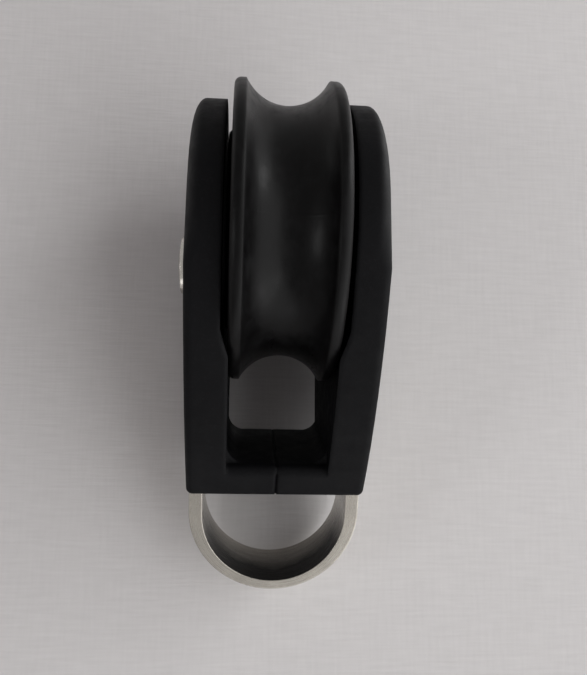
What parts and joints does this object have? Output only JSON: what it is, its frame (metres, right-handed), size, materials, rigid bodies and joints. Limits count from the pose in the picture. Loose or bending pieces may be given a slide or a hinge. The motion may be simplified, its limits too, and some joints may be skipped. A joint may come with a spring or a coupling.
{
  "type": "sailing block",
  "caption": "Single sailing block: grooved sheave on balls between moulded cheeks, held by a screw and a bent strap whose round bail takes a shackle or lashing.",
  "frame": {"origin": "centre of the sheave, on its axis", "axes": "+X along the axle towards the nut, +Z along the block away from the bail, -Y towards the viewer"},
  "size_m": [0.0285, 0.04, 0.0703],
  "materials": {
    "cheek_nylon": "fine moulded grain",
    "sheave_acetal": "satin",
    "strap_steel": "brushed",
    "fastener_steel": "polished",
    "race_steel": "turned",
    "keeper_nylon": "moulded",
    "ball_acetal": "smooth"
  },
  "bodies": {
    "block_frame": {"left_cheek": "cheek_nylon", "right_cheek": "cheek_nylon", "bail_strap": "strap_steel", "through_screw": "fastener_steel", "thin_nut": "fastener_steel", "race_sleeve": "race_steel", "ball_keeper_left": "keeper_nylon", "ball_keeper_right": "keeper_nylon"},
    "wheel": {"sheave": "sheave_acetal"},
    "ball_set": {"ball_left_01": "ball_acetal", "ball_left_02": "ball_acetal", "ball_left_03": "ball_acetal", "ball_left_04": "ball_acetal", "ball_left_05": "ball_acetal", "ball_left_06": "ball_acetal", "ball_left_07": "ball_acetal", "ball_left_08": "ball_acetal", "ball_left_09": "ball_acetal", "ball_left_10": "ball_acetal", "ball_left_11": "ball_acetal", "ball_left_12": "ball_acetal", "ball_left_13": "ball_acetal", "ball_left_14": "ball_acetal", "ball_left_15": "ball_acetal", "ball_left_16": "ball_acetal", "ball_right_01": "ball_acetal", "ball_right_02": "ball_acetal", "ball_right_03": "ball_acetal", "ball_right_04": "ball_acetal", "ball_right_05": "ball_acetal", "ball_right_06": "ball_acetal", "ball_right_07": "ball_acetal", "ball_right_08": "ball_acetal", "ball_right_09": "ball_acetal", "ball_right_10": "ball_acetal", "ball_right_11": "ball_acetal", "ball_right_12": "ball_acetal", "ball_right_13": "ball_acetal", "ball_right_14": "ball_acetal", "ball_right_15": "ball_acetal", "ball_right_16": "ball_acetal"}
  },
  "joints": [
    {"name": "sheave_spin", "type": "hinge", "parent": "block_frame", "child": "wheel", "pos_m": [0, 0, 0], "axis": [1, 0, 0], "continuous": true},
    {"name": "ball_orbit", "type": "hinge", "parent": "block_frame", "child": "ball_set", "pos_m": [0, 0, 0], "axis": [1, 0, 0], "continuous": true}
  ],
  "couplings": [
    {"joint": "ball_orbit", "follows": "sheave_spin", "ratio": 0.5885}
  ]
}
